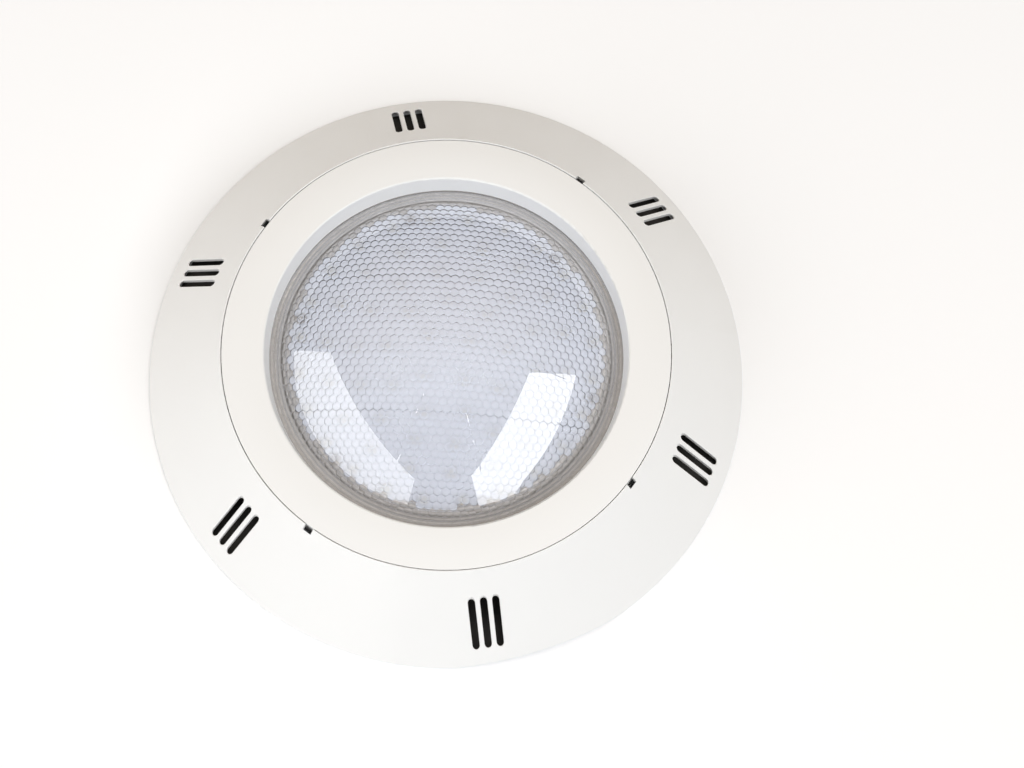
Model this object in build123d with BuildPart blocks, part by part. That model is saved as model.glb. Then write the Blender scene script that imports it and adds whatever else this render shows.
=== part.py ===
"""Surface-mounted underwater pool light: a wall plate, a sealed lamp and a clip-on face ring.

Frame: millimetres, origin on the wall plane at the middle of the light, +Z out of the wall.
Three bodies come apart along +Z: the wall plate stays on the wall, the lamp is held to it by
three captive screws, and the face ring clips over the lamp.
"""
import os
from math import asin, atan, cos, radians, sin, tan

from build123d import *

# ---- driving dimensions ------------------------------------------------------------------

# Face ring: a straight cone that stands on the wall and ends in a hole round the bezel.
RING_OUTER_RADIUS = 145.0
RING_HOLE_RADIUS = 107.7
RING_HEIGHT = 45.0
RING_WALL = 2.2
RING_RIM_LAND = 1.2
RING_RIM_ROUND = 0.45
RING_EDGE_ROUND = 0.3

SLOT_GROUPS = 6
SLOT_FIRST_ANGLE = 30.0
SLOT_INNER_RADIUS = 118.3
SLOT_OUTER_RADIUS = 138.1
SLOT_WIDTH = 3.5
SLOT_PITCH = 5.8
SLOT_EDGE_ROUND = 0.35

NOTCH_COUNT = 4
NOTCH_FIRST_ANGLE = 45.0
NOTCH_WIDTH = 4.6
NOTCH_DEPTH = 2.5

# A very flat arch in the rim lets water drain along the wall.
RELIEF_ANGLE = -82.0
RELIEF_LENGTH = 100.0
RELIEF_HEIGHT = 2.4
RELIEF_REACH = 40.0

# Bezel: a crowned ring that falls outwards, with a steep bore and a skirt inside the face ring.
BEZEL_RADIUS = 107.35
BEZEL_EDGE_HEIGHT = 44.3
BEZEL_CROWN_RADIUS = 98.0
BEZEL_CROWN_HEIGHT = 45.5
BEZEL_LIP_RADIUS = 87.0
BEZEL_LIP_HEIGHT = 45.8
BEZEL_LIP_ROUND = 1.0
BEZEL_BORE_RADIUS = 85.0
BEZEL_WALL = 3.0
BEZEL_EDGE_ROUND = 0.35
LOCATING_CLEARANCE = 0.3
LOCATING_WALL = 2.8
SHELL_SEAL_THICKNESS = 1.0

# Lens: a domed clear window with a flat flange.
LENS_DOME_RADIUS = 130.0
LENS_CROWN_HEIGHT = 62.8
LENS_DOME_EDGE_RADIUS = 75.5
LENS_THICKNESS = 3.0
LENS_FLANGE_RADIUS = 91.3
LENS_FLANGE_TOP = 34.5
LENS_FOOT_ROUND = 6.0

# Rear shell.
SHELL_BACK = 6.0
SHELL_WALL = 3.0
SHELL_RADIUS = 91.4
SHELL_INNER_RADIUS = 88.0
SHELL_LIP_RADIUS = 86.0
SHELL_TOP = 29.9
SHELL_FLANGE_RADIUS = 103.9
SHELL_FLANGE_TOP = 29.0
RECESS_RADIUS = 40.0
RECESS_CEILING = 22.4

# Wall plate.
PLATE_RADIUS = 138.5
PLATE_THICKNESS = 3.0
CONDUIT_HOLE_RADIUS = 30.0
WALL_SCREW_CIRCLE_RADIUS = 100.0
WALL_SCREW_HOLE_RADIUS = 2.75
WALL_SCREW_COUNT = 4
WALL_SCREW_FIRST_ANGLE = 45.0
POST_COUNT = 3
POST_CIRCLE_RADIUS = 112.0
POST_RADIUS = 6.0
POST_TOP = 12.0
SEATING_GAP = 0.05

# Circuit boards inside the lamp.
LED_BOARD_RADIUS = 85.5
LED_BOARD_THICKNESS = 1.6
SPREADER_RADIUS = 84.0
SPREADER_THICKNESS = 2.0
SPREADER_BOTTOM = 25.4
LED_SIZE = 5.0
LED_HEIGHT = 1.6
LED_WINDOW_RADIUS = 1.9
LED_WINDOW_DEPTH = 0.3
LED_RINGS = [(70.0, 24, 13.0), (57.0, 18, 4.0), (43.0, 14, 10.0), (29.0, 9, 0.0), (14.0, 4, 30.0)]
DRIVER_BOARD_INNER_RADIUS = 48.0
DRIVER_BOARD_OUTER_RADIUS = 85.0
DRIVER_BOARD_BOTTOM = 13.0
DRIVER_BOARD_THICKNESS = 1.6
DRIVER_GAP_HALF_ANGLE = 35.0

# Cable gland, lying along +X in the side of the back recess.
GLAND_HEIGHT = 15.7
GLAND_THREAD_RADIUS = 6.0
GLAND_HEX_RADIUS = 7.4
CABLE_RADIUS = 3.5

# ---- sizes worked out from the driving dimensions ------------------------------------------

ring_slope = atan((RING_HEIGHT - RING_RIM_LAND) / (RING_OUTER_RADIUS - RING_HOLE_RADIUS))
ring_wall_across = RING_WALL / sin(ring_slope)
ring_wall_up = RING_WALL / cos(ring_slope)
ring_inner_rim_radius = RING_OUTER_RADIUS - ring_wall_across + RING_RIM_LAND / tan(ring_slope)
ring_hole_underside = RING_HEIGHT - ring_wall_up

bezel_channel_top = BEZEL_EDGE_HEIGHT - BEZEL_WALL
bezel_skirt_inner_radius = BEZEL_RADIUS - BEZEL_WALL
bezel_locating_radius = LENS_FLANGE_RADIUS + LOCATING_CLEARANCE
bezel_locating_outer_radius = bezel_locating_radius + LOCATING_WALL
bezel_locating_bottom = SHELL_FLANGE_TOP + SHELL_SEAL_THICKNESS
bezel_bottom = SHELL_FLANGE_TOP - SHELL_WALL

lens_flange_bottom = LENS_FLANGE_TOP - LENS_THICKNESS
led_board_bottom = SPREADER_BOTTOM + SPREADER_THICKNESS
led_board_top = led_board_bottom + LED_BOARD_THICKNESS
shell_floor = SHELL_BACK + SHELL_WALL
recess_ceiling_top = RECESS_CEILING + SHELL_WALL
recess_wall_outer_radius = RECESS_RADIUS + SHELL_WALL
driver_board_top = DRIVER_BOARD_BOTTOM + DRIVER_BOARD_THICKNESS
ear_bottom = POST_TOP + SEATING_GAP
ear_top = ear_bottom + SHELL_WALL

BEZEL_SCREW_COUNT = 8
BEZEL_SCREW_FIRST_ANGLE = 22.5
bezel_screw_circle_radius = (bezel_locating_outer_radius + bezel_skirt_inner_radius) / 2
SPREADER_SCREW_COUNT = 6
SPREADER_SCREW_FIRST_ANGLE = 35.5
SPREADER_SCREW_CIRCLE_RADIUS = 72.0
SPREADER_POST_RADIUS = 4.0
STANDOFF_CIRCLE_RADIUS = 60.0
STANDOFF_ANGLES = [60, 120, 180, 240, 300]
M3_RADIUS = 1.5
M3_HOLE_RADIUS = 1.6
M3_HEAD_RADIUS = 2.8
M3_HEAD_HEIGHT = 1.8
M4_RADIUS = 2.0
M4_HEAD_RADIUS = 4.0
M4_HEAD_HEIGHT = 3.0
BEZEL_SCREW_LENGTH = 11.0
BEZEL_SCREW_HEAD_HEIGHT = 2.2
BEZEL_PILOT_DEPTH = 9.0
SPREADER_SCREW_LENGTH = 10.0
SPREADER_PILOT_DEPTH = 8.0
DRIVER_SCREW_LENGTH = 5.0
CAPTIVE_SCREW_LENGTH = 11.0


def ring_inner_radius(height):
    """Radius of the face ring's inner surface at a height above the wall."""
    return ring_inner_rim_radius - height / tan(ring_slope)


def upright_plane(angle):
    """Plane through the Z axis at an angle: its x runs outwards and its y runs up."""
    turn = radians(angle)
    return Plane(origin=(0, 0, 0), x_dir=(cos(turn), sin(turn), 0), z_dir=(sin(turn), -cos(turn), 0))


def skirt_plane(angle, height, outwards=0.0):
    """Plane that touches the bezel's skirt at an angle and a height, with its normal outwards."""
    turn = radians(angle)
    reach = BEZEL_RADIUS + outwards
    return Plane(
        origin=(reach * cos(turn), reach * sin(turn), height),
        x_dir=(-sin(turn), cos(turn), 0),
        z_dir=(cos(turn), sin(turn), 0),
    )


def polar(radius, angle):
    """Point on a circle round the Z axis."""
    turn = radians(angle)
    return (radius * cos(turn), radius * sin(turn))


def angles_round(count, first_angle):
    """Evenly spaced angles round a full circle."""
    return [first_angle + 360 * step / count for step in range(count)]


def make_screw(seat_height, shank_radius, shank_length, head_radius, head_height, head_up=True):
    """Cross-headed screw on the Z axis, with its head on a seat and its shank pointing away."""
    way = 1 if head_up else -1
    with BuildPart() as screw:
        with BuildSketch(Plane.XY.offset(seat_height)):
            Circle(shank_radius)
        extrude(amount=-way * shank_length)
        with BuildSketch(Plane.XY.offset(seat_height)):
            Circle(head_radius)
        extrude(amount=way * head_height)
        crown = screw.faces().sort_by(Axis.Z)[-1 if head_up else 0]
        fillet(crown.edges(), head_height * 0.45)
        with BuildSketch(Plane.XY.offset(seat_height + way * head_height)):
            Rectangle(head_radius * 1.1, head_radius * 0.28)
            Rectangle(head_radius * 0.28, head_radius * 1.1)
        extrude(amount=-way * head_height * 0.5, mode=Mode.SUBTRACT)
    return screw.part


def make_tube(bottom, top, outer_radius, inner_radius):
    """Plain ring round the Z axis."""
    with BuildPart() as tube:
        with BuildSketch(Plane.XY.offset(bottom)):
            Circle(outer_radius)
            Circle(inner_radius, mode=Mode.SUBTRACT)
        extrude(amount=top - bottom)
    return tube.part


def save(part, label):
    """Label a finished piece and write its STEP file."""
    part.label = label
    export_step(part, f"parts/{label}.step")


os.makedirs("parts", exist_ok=True)

# ---- wall bracket ---------------------------------------------------------------------------

GASKET_INNER_RADIUS = 33.0
GASKET_OUTER_RADIUS = 38.0
GASKET_DEPTH = 1.5
INSERT_RADIUS = 3.0
INSERT_BOTTOM = 4.0
INSERT_CLEARANCE = 0.05
PLATE_RIB_HEIGHT = 2.0
PLATE_RIB_WIDTH = 2.4
PLATE_RIB_RADII = [55.0, 85.0]
PLATE_EDGE_ROUND = 0.8
SCREW_BOSS_RADIUS = 7.0

with BuildPart() as wall_plate:
    with BuildSketch():
        Circle(PLATE_RADIUS)
    extrude(amount=PLATE_THICKNESS)
    fillet(wall_plate.edges().filter_by(GeomType.CIRCLE).sort_by(Axis.Z)[-1], PLATE_EDGE_ROUND)
    with BuildSketch(Plane.XY.offset(PLATE_THICKNESS)):
        for radius in PLATE_RIB_RADII:
            Circle(radius + PLATE_RIB_WIDTH / 2)
            Circle(radius - PLATE_RIB_WIDTH / 2, mode=Mode.SUBTRACT)
        with PolarLocations(WALL_SCREW_CIRCLE_RADIUS, WALL_SCREW_COUNT, WALL_SCREW_FIRST_ANGLE):
            Circle(SCREW_BOSS_RADIUS)
    extrude(amount=PLATE_RIB_HEIGHT)
    with BuildSketch(Plane.XY.offset(PLATE_THICKNESS)):
        with PolarLocations(POST_CIRCLE_RADIUS, POST_COUNT):
            Circle(POST_RADIUS)
    extrude(amount=POST_TOP - PLATE_THICKNESS)
    with BuildSketch():
        Circle(CONDUIT_HOLE_RADIUS)
        with PolarLocations(WALL_SCREW_CIRCLE_RADIUS, WALL_SCREW_COUNT, WALL_SCREW_FIRST_ANGLE):
            Circle(WALL_SCREW_HOLE_RADIUS)
    extrude(amount=POST_TOP, mode=Mode.SUBTRACT)
    with BuildSketch():
        Circle(GASKET_OUTER_RADIUS)
        Circle(GASKET_INNER_RADIUS, mode=Mode.SUBTRACT)
    extrude(amount=GASKET_DEPTH, mode=Mode.SUBTRACT)
    with BuildSketch(Plane.XY.offset(INSERT_BOTTOM)):
        with PolarLocations(POST_CIRCLE_RADIUS, POST_COUNT):
            Circle(INSERT_RADIUS)
    extrude(amount=POST_TOP - INSERT_BOTTOM, mode=Mode.SUBTRACT)
save(wall_plate.part, "wall_plate")

save(make_tube(0, GASKET_DEPTH, GASKET_OUTER_RADIUS, GASKET_INNER_RADIUS), "wall_gasket")

insert = make_tube(INSERT_BOTTOM, POST_TOP, INSERT_RADIUS, M4_RADIUS + INSERT_CLEARANCE)
with BuildPart() as threaded_inserts:
    with PolarLocations(POST_CIRCLE_RADIUS, POST_COUNT):
        add(insert)
save(threaded_inserts.part, "threaded_inserts")

# ---- rear shell -----------------------------------------------------------------------------

EAR_WIDTH = 14.0
EAR_HOLE_RADIUS = 2.3
GLAND_SEAT_WIDTH = 18.0
SHELL_BACK_ROUND = 1.5
SHELL_LIP_DEPTH = 1.5
SHELL_LIP_TAPER = 2.0

with BuildPart() as rear_shell:
    with BuildSketch(Plane.XZ):
        with BuildLine():
            Polyline(
                (0, RECESS_CEILING),
                (RECESS_RADIUS, RECESS_CEILING),
                (RECESS_RADIUS, SHELL_BACK),
                (SHELL_RADIUS, SHELL_BACK),
                (SHELL_RADIUS, bezel_bottom),
                (SHELL_FLANGE_RADIUS, bezel_bottom),
                (SHELL_FLANGE_RADIUS, SHELL_FLANGE_TOP),
                (SHELL_RADIUS, SHELL_FLANGE_TOP),
                (SHELL_RADIUS, SHELL_TOP),
                (SHELL_LIP_RADIUS, SHELL_TOP),
                (SHELL_LIP_RADIUS, SHELL_TOP - SHELL_LIP_DEPTH),
                (SHELL_INNER_RADIUS, SHELL_TOP - SHELL_LIP_DEPTH - SHELL_LIP_TAPER),
                (SHELL_INNER_RADIUS, shell_floor),
                (recess_wall_outer_radius, shell_floor),
                (recess_wall_outer_radius, recess_ceiling_top),
                (0, recess_ceiling_top),
                close=True,
            )
        make_face()
    revolve(axis=Axis.Z)
    back_edges = rear_shell.edges().filter_by(GeomType.CIRCLE).group_by(Axis.Z)[0]
    fillet(back_edges, SHELL_BACK_ROUND)
    with BuildSketch(Plane.XY.offset(ear_bottom)):
        for angle in angles_round(POST_COUNT, 0):
            with Locations(polar(POST_CIRCLE_RADIUS, angle)):
                Circle(EAR_WIDTH / 2)
            with Locations(Location((*polar((SHELL_RADIUS - 1 + POST_CIRCLE_RADIUS) / 2, angle), 0), angle)):
                Rectangle(POST_CIRCLE_RADIUS - SHELL_RADIUS + 1, EAR_WIDTH)
    extrude(amount=SHELL_WALL)
    with BuildSketch(Plane.XY.offset(ear_bottom)):
        with PolarLocations(POST_CIRCLE_RADIUS, POST_COUNT):
            Circle(EAR_HOLE_RADIUS)
    extrude(amount=SHELL_WALL, mode=Mode.SUBTRACT)
    with BuildSketch(Plane.XY.offset(shell_floor)):
        with PolarLocations(SPREADER_SCREW_CIRCLE_RADIUS, SPREADER_SCREW_COUNT, SPREADER_SCREW_FIRST_ANGLE):
            Circle(SPREADER_POST_RADIUS)
    extrude(amount=SPREADER_BOTTOM - shell_floor)
    with BuildSketch(Plane.XY.offset(SPREADER_BOTTOM)):
        with PolarLocations(SPREADER_SCREW_CIRCLE_RADIUS, SPREADER_SCREW_COUNT, SPREADER_SCREW_FIRST_ANGLE):
            Circle(M3_RADIUS)
    extrude(amount=-SPREADER_PILOT_DEPTH, mode=Mode.SUBTRACT)
    with BuildSketch(Plane.XY.offset(bezel_bottom)):
        with PolarLocations(bezel_screw_circle_radius, BEZEL_SCREW_COUNT, BEZEL_SCREW_FIRST_ANGLE):
            Circle(M3_HOLE_RADIUS)
    extrude(amount=SHELL_WALL, mode=Mode.SUBTRACT)
    # Flat seats on both sides of the recess wall, and the hole between them, for the gland.
    with BuildSketch(Plane.YZ.offset(recess_wall_outer_radius)):
        with Locations((0, (shell_floor + recess_ceiling_top) / 2)):
            Rectangle(GLAND_SEAT_WIDTH, recess_ceiling_top - shell_floor)
    extrude(amount=-SHELL_WALL)
    with BuildSketch(Plane.YZ.offset(RECESS_RADIUS)):
        with Locations((0, (SHELL_BACK + RECESS_CEILING) / 2)):
            Rectangle(GLAND_SEAT_WIDTH, RECESS_CEILING - SHELL_BACK)
    extrude(amount=-SHELL_WALL, mode=Mode.SUBTRACT)
    with BuildSketch(Plane.YZ.offset(RECESS_RADIUS)):
        with Locations((0, GLAND_HEIGHT)):
            Circle(GLAND_THREAD_RADIUS)
    extrude(amount=SHELL_WALL, mode=Mode.SUBTRACT)
save(rear_shell.part, "rear_shell")

# ---- bezel ----------------------------------------------------------------------------------

BOSS_RADIUS = 4.0
CLIP_SCREW_HEIGHT = 28.3
CLIP_SCREW_RADIUS = 1.25
CLIP_SCREW_HEAD_RADIUS = 1.8
CLIP_SCREW_HEAD_HEIGHT = 1.2
CLIP_CROSS_WIDTH = 0.6
CLIP_CROSS_LENGTH = 2.6
CLIP_CROSS_DEPTH = 0.7

with BuildPart() as bezel:
    with BuildSketch(Plane.XZ):
        with BuildLine():
            Polyline(
                (BEZEL_LIP_RADIUS, BEZEL_LIP_HEIGHT),
                (BEZEL_BORE_RADIUS, LENS_FLANGE_TOP),
                (bezel_locating_radius, LENS_FLANGE_TOP),
                (bezel_locating_radius, bezel_locating_bottom),
                (bezel_locating_outer_radius, bezel_locating_bottom),
                (bezel_locating_outer_radius, bezel_channel_top),
                (bezel_skirt_inner_radius, bezel_channel_top),
                (bezel_skirt_inner_radius, bezel_bottom),
                (BEZEL_RADIUS, bezel_bottom),
                (BEZEL_RADIUS, BEZEL_EDGE_HEIGHT),
            )
            ThreePointArc(
                (BEZEL_RADIUS, BEZEL_EDGE_HEIGHT),
                (BEZEL_CROWN_RADIUS, BEZEL_CROWN_HEIGHT),
                (BEZEL_LIP_RADIUS, BEZEL_LIP_HEIGHT),
            )
        make_face()
        fillet(vertices().sort_by_distance((BEZEL_LIP_RADIUS, BEZEL_LIP_HEIGHT))[0], BEZEL_LIP_ROUND)
        fillet(vertices().sort_by_distance((BEZEL_RADIUS, BEZEL_EDGE_HEIGHT))[0], BEZEL_EDGE_ROUND)
    revolve(axis=Axis.Z)
    with BuildSketch(Plane.XY.offset(bezel_channel_top)):
        with PolarLocations(bezel_screw_circle_radius, BEZEL_SCREW_COUNT, BEZEL_SCREW_FIRST_ANGLE):
            Circle(BOSS_RADIUS)
    extrude(amount=SHELL_FLANGE_TOP - bezel_channel_top)
    with BuildSketch(Plane.XY.offset(SHELL_FLANGE_TOP)):
        with PolarLocations(bezel_screw_circle_radius, BEZEL_SCREW_COUNT, BEZEL_SCREW_FIRST_ANGLE):
            Circle(M3_RADIUS)
    extrude(amount=BEZEL_PILOT_DEPTH, mode=Mode.SUBTRACT)
    for angle in angles_round(NOTCH_COUNT, NOTCH_FIRST_ANGLE):
        with BuildSketch(skirt_plane(angle, CLIP_SCREW_HEIGHT)):
            Circle(CLIP_SCREW_RADIUS)
        extrude(amount=-(BEZEL_WALL + 1), mode=Mode.SUBTRACT)
save(bezel.part, "bezel")

save(make_tube(SHELL_FLANGE_TOP, bezel_locating_bottom, bezel_locating_outer_radius, bezel_locating_radius),
     "shell_seal")

bezel_screw = make_screw(
    bezel_bottom, M3_RADIUS, BEZEL_SCREW_LENGTH, M3_HEAD_RADIUS, BEZEL_SCREW_HEAD_HEIGHT, head_up=False)
with BuildPart() as bezel_screws:
    with PolarLocations(bezel_screw_circle_radius, BEZEL_SCREW_COUNT, BEZEL_SCREW_FIRST_ANGLE):
        add(bezel_screw)
save(bezel_screws.part, "bezel_screws")

# ---- lens -----------------------------------------------------------------------------------


def lens_outline(offset):
    """Dome, straight flank and round foot of one lens surface, moved inwards by an offset.

    Returns the crown, a point on the dome, the dome's edge, the foot's start, a point on the
    foot's round and the foot's end, each as (radius, height).
    """
    dome_centre = LENS_CROWN_HEIGHT - LENS_DOME_RADIUS
    edge_angle = asin(LENS_DOME_EDGE_RADIUS / LENS_DOME_RADIUS)
    dome_radius = LENS_DOME_RADIUS - offset
    foot_round = LENS_FOOT_ROUND + offset
    flange_height = LENS_FLANGE_TOP - offset

    def dome_point(angle):
        return (dome_radius * sin(angle), dome_centre + dome_radius * cos(angle))

    edge_radius, edge_height = dome_point(edge_angle)
    foot_drop = foot_round * (1 - cos(edge_angle))
    flank_drop = edge_height - flange_height - foot_drop
    foot_start = (edge_radius + flank_drop / tan(edge_angle), edge_height - flank_drop)
    foot_end = (foot_start[0] + foot_round * sin(edge_angle), flange_height)
    half_angle = edge_angle / 2
    foot_middle = (
        foot_end[0] - foot_round * sin(half_angle),
        flange_height + foot_round * (1 - cos(half_angle)),
    )
    dome_edge = (edge_radius, edge_height)
    return (dome_point(0), dome_point(half_angle), dome_edge, foot_start, foot_middle, foot_end)


with BuildPart() as lens:
    crown, dome_middle, dome_edge, foot_start, foot_middle, foot_end = lens_outline(0)
    inner_crown, inner_dome_middle, inner_dome_edge, inner_foot_start, inner_foot_middle, inner_foot_end = (
        lens_outline(LENS_THICKNESS))
    with BuildSketch(Plane.XZ):
        with BuildLine():
            ThreePointArc(crown, dome_middle, dome_edge)
            Line(dome_edge, foot_start)
            ThreePointArc(foot_start, foot_middle, foot_end)
            Polyline(
                foot_end,
                (LENS_FLANGE_RADIUS, LENS_FLANGE_TOP),
                (LENS_FLANGE_RADIUS, lens_flange_bottom),
                inner_foot_end,
            )
            ThreePointArc(inner_foot_end, inner_foot_middle, inner_foot_start)
            Line(inner_foot_start, inner_dome_edge)
            ThreePointArc(inner_dome_edge, inner_dome_middle, inner_crown)
            Line(inner_crown, crown)
        make_face()
    revolve(axis=Axis.Z)
save(lens.part, "lens")

LENS_GASKET_OUTER_RADIUS = 91.2
LENS_GASKET_INNER_RADIUS = 86.2
lens_gasket = make_tube(SHELL_TOP, lens_flange_bottom, LENS_GASKET_OUTER_RADIUS, LENS_GASKET_INNER_RADIUS)
save(lens_gasket, "lens_gasket")

# ---- heat spreader and LED board ------------------------------------------------------------

CONNECTOR_RADIUS = 62.0
CONNECTOR_ANGLE = 45.0
CONNECTOR_LENGTH = 10.0
CONNECTOR_WIDTH = 5.0
CONNECTOR_MARGIN = 2.0
connector_hole_length = CONNECTOR_LENGTH + CONNECTOR_MARGIN
connector_hole_width = CONNECTOR_WIDTH + CONNECTOR_MARGIN
connector_place = Location((*polar(CONNECTOR_RADIUS, CONNECTOR_ANGLE), 0), CONNECTOR_ANGLE)

with BuildPart() as heat_spreader:
    with BuildSketch(Plane.XY.offset(SPREADER_BOTTOM)):
        Circle(SPREADER_RADIUS)
        with PolarLocations(SPREADER_SCREW_CIRCLE_RADIUS, SPREADER_SCREW_COUNT, SPREADER_SCREW_FIRST_ANGLE):
            Circle(M3_HOLE_RADIUS, mode=Mode.SUBTRACT)
        with Locations(connector_place):
            Rectangle(connector_hole_length, connector_hole_width, mode=Mode.SUBTRACT)
    extrude(amount=SPREADER_THICKNESS)
save(heat_spreader.part, "heat_spreader")

with BuildPart() as led_board:
    with BuildSketch(Plane.XY.offset(led_board_bottom)):
        Circle(LED_BOARD_RADIUS)
        with PolarLocations(SPREADER_SCREW_CIRCLE_RADIUS, SPREADER_SCREW_COUNT, SPREADER_SCREW_FIRST_ANGLE):
            Circle(M3_HOLE_RADIUS, mode=Mode.SUBTRACT)
    extrude(amount=LED_BOARD_THICKNESS)
save(led_board.part, "led_board")

spreader_screw = make_screw(led_board_top, M3_RADIUS, SPREADER_SCREW_LENGTH, M3_HEAD_RADIUS, M3_HEAD_HEIGHT)
with BuildPart() as spreader_screws:
    with PolarLocations(SPREADER_SCREW_CIRCLE_RADIUS, SPREADER_SCREW_COUNT, SPREADER_SCREW_FIRST_ANGLE):
        add(spreader_screw)
save(spreader_screws.part, "spreader_screws")

with BuildPart() as led_emitters:
    with BuildSketch(Plane.XY.offset(led_board_top)):
        for radius, count, first_angle in LED_RINGS:
            with PolarLocations(radius, count, first_angle):
                Rectangle(LED_SIZE, LED_SIZE)
    extrude(amount=LED_HEIGHT)
    with BuildSketch(Plane.XY.offset(led_board_top + LED_HEIGHT)):
        for radius, count, first_angle in LED_RINGS:
            with PolarLocations(radius, count, first_angle):
                Circle(LED_WINDOW_RADIUS)
    extrude(amount=-LED_WINDOW_DEPTH, mode=Mode.SUBTRACT)
save(led_emitters.part, "led_emitters")

with BuildPart() as led_windows:
    with BuildSketch(Plane.XY.offset(led_board_top + LED_HEIGHT - LED_WINDOW_DEPTH)):
        for radius, count, first_angle in LED_RINGS:
            with PolarLocations(radius, count, first_angle):
                Circle(LED_WINDOW_RADIUS)
    extrude(amount=LED_WINDOW_DEPTH)
save(led_windows.part, "led_windows")

# ---- driver board and what is on it ---------------------------------------------------------

STANDOFF_RADIUS = 3.0
CAPACITOR_RADIUS = 5.0
CAPACITOR_HEIGHT = 9.0
CAPACITOR_PLACES = [(58.0, 78), (58.0, 90), (58.0, 102)]
INDUCTOR_PLACES = [(62.0, 142), (62.0, 162)]
INDUCTOR_RADIUS = 5.5
INDUCTOR_CORD_RADIUS = 2.5
CAPACITOR_ROUND = 0.8
CHIP_PLACES = [(72.0, 65), (72.0, 115), (72.0, 170), (72.0, 190), (72.0, 285), (72.0, 305)]
CHIP_LENGTH = 6.0
CHIP_WIDTH = 5.0
CHIP_HEIGHT = 1.6
CHIP_CHAMFER = 0.3
RECTIFIER_PLACE = (66.0, 227)
RECTIFIER_SIDE = 15.0
RECTIFIER_HEIGHT = 5.0
RECTIFIER_CHAMFER = 0.8
RADIO_PLACE = (66.0, 255)
RADIO_BOARD_WIDTH = 12.0
RADIO_BOARD_LENGTH = 18.0
RADIO_BOARD_THICKNESS = 1.0
RADIO_CAN_WIDTH = 8.0
RADIO_CAN_LENGTH = 11.0
RADIO_CAN_HEIGHT = 2.0
RADIO_CAN_ROUND = 0.4
TERMINAL_PLACE = (62.0, 317)
TERMINAL_WIDTH = 10.0
TERMINAL_LENGTH = 11.0
TERMINAL_HEIGHT = 9.0
TERMINAL_CHAMFER = 0.6
TERMINAL_SCREW_SPACING = 5.2
TERMINAL_WELL_RADIUS = 1.6
TERMINAL_WELL_DEPTH = 5.0
ANTENNA_RADIUS = 83.0
ANTENNA_FOOT_ANGLE = 243
ANTENNA_TIP_ANGLE = 258
ANTENNA_RISE = 4.0
ANTENNA_WIRE_RADIUS = 0.5

with BuildPart() as driver_board:
    with BuildSketch(Plane.XY.offset(DRIVER_BOARD_BOTTOM)):
        Circle(DRIVER_BOARD_OUTER_RADIUS)
        Circle(DRIVER_BOARD_INNER_RADIUS, mode=Mode.SUBTRACT)
        gap_reach = 2 * DRIVER_BOARD_OUTER_RADIUS
        Polygon((0, 0), polar(gap_reach, -DRIVER_GAP_HALF_ANGLE), polar(gap_reach, DRIVER_GAP_HALF_ANGLE),
                align=None, mode=Mode.SUBTRACT)
        with PolarLocations(SPREADER_SCREW_CIRCLE_RADIUS, SPREADER_SCREW_COUNT, SPREADER_SCREW_FIRST_ANGLE):
            Circle(SPREADER_POST_RADIUS + 0.8, mode=Mode.SUBTRACT)
        with Locations(*[polar(STANDOFF_CIRCLE_RADIUS, angle) for angle in STANDOFF_ANGLES]):
            Circle(M3_HOLE_RADIUS, mode=Mode.SUBTRACT)
    extrude(amount=DRIVER_BOARD_THICKNESS)
save(driver_board.part, "driver_board")

standoff = make_tube(shell_floor, DRIVER_BOARD_BOTTOM, STANDOFF_RADIUS, M3_RADIUS)
with BuildPart() as board_standoffs:
    with Locations(*[polar(STANDOFF_CIRCLE_RADIUS, angle) for angle in STANDOFF_ANGLES]):
        add(standoff)
save(board_standoffs.part, "board_standoffs")

driver_screw = make_screw(driver_board_top, M3_RADIUS, DRIVER_SCREW_LENGTH, M3_HEAD_RADIUS, M3_HEAD_HEIGHT)
with BuildPart() as driver_screws:
    with Locations(*[polar(STANDOFF_CIRCLE_RADIUS, angle) for angle in STANDOFF_ANGLES]):
        add(driver_screw)
save(driver_screws.part, "driver_screws")

with BuildPart() as capacitors:
    with BuildSketch(Plane.XY.offset(driver_board_top)):
        with Locations(*[polar(*place) for place in CAPACITOR_PLACES]):
            Circle(CAPACITOR_RADIUS)
    extrude(amount=CAPACITOR_HEIGHT)
    fillet(capacitors.edges().group_by(Axis.Z)[-1], CAPACITOR_ROUND)
save(capacitors.part, "capacitors")

with BuildPart() as inductors:
    with Locations(*[(*polar(*place), driver_board_top + INDUCTOR_CORD_RADIUS) for place in INDUCTOR_PLACES]):
        Torus(INDUCTOR_RADIUS, INDUCTOR_CORD_RADIUS)
save(inductors.part, "inductors")

with BuildPart() as driver_chips:
    with BuildSketch(Plane.XY.offset(driver_board_top)):
        for radius, angle in CHIP_PLACES:
            with Locations(Location((*polar(radius, angle), 0), angle)):
                Rectangle(CHIP_LENGTH, CHIP_WIDTH)
    extrude(amount=CHIP_HEIGHT)
    chamfer(driver_chips.edges().group_by(Axis.Z)[-1], CHIP_CHAMFER)
save(driver_chips.part, "driver_chips")

with BuildPart() as bridge_rectifier:
    with BuildSketch(Plane.XY.offset(driver_board_top)):
        with Locations(Location((*polar(*RECTIFIER_PLACE), 0), RECTIFIER_PLACE[1])):
            Rectangle(RECTIFIER_SIDE, RECTIFIER_SIDE)
    extrude(amount=RECTIFIER_HEIGHT)
    chamfer(bridge_rectifier.edges().group_by(Axis.Z)[-1], RECTIFIER_CHAMFER)
save(bridge_rectifier.part, "bridge_rectifier")

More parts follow.
